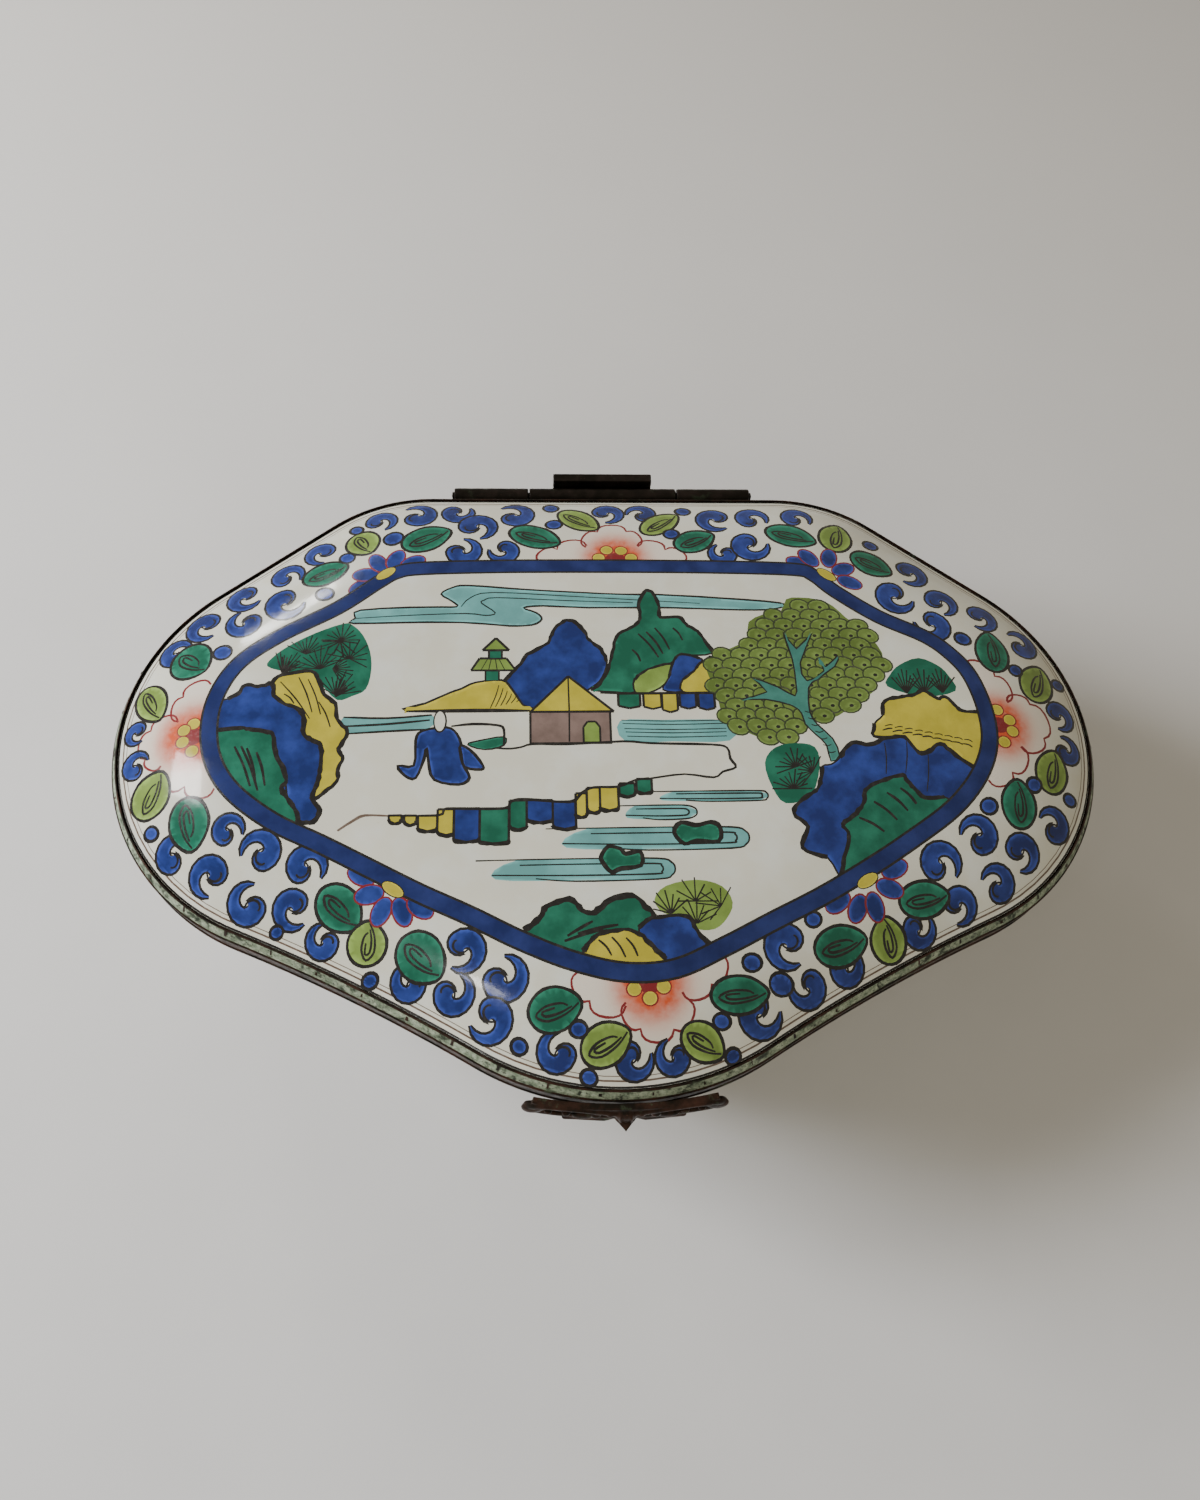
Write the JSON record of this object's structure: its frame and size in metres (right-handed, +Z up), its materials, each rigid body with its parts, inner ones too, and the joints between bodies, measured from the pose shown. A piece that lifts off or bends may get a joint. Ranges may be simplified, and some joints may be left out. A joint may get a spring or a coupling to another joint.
{
  "type": "hinged porcelain box",
  "caption": "Table box of glazed porcelain, a lobed lozenge in plan, with a painted domed lid hinged behind, metal mounts round lid and mouth, and a bow clasp in front.",
  "frame": {"origin": "on the flat underside of the box, on its left-right middle line", "axes": "+X to the right along the long side, +Y from the clasp to the hinge, +Z up"},
  "size_m": [0.215, 0.1555, 0.066],
  "materials": {
    "porcelain": "gloss",
    "mount_metal": "patinated"
  },
  "bodies": {
    "box": {"porcelain_box": "porcelain", "box_mount": "mount_metal", "hinge_knuckle_left": "mount_metal", "hinge_knuckle_right": "mount_metal", "hinge_pin": "mount_metal", "hinge_stop": "mount_metal"},
    "lid": {"porcelain_lid": "porcelain", "lid_mount": "mount_metal", "hinge_knuckle_centre": "mount_metal", "clasp_bow": "mount_metal"}
  },
  "joints": [
    {"name": "lid_hinge", "type": "hinge", "parent": "box", "child": "lid", "pos_m": [0, 0.0671, 0.054], "axis": [-1, 0, 0], "range_deg": [0, 100]}
  ]
}
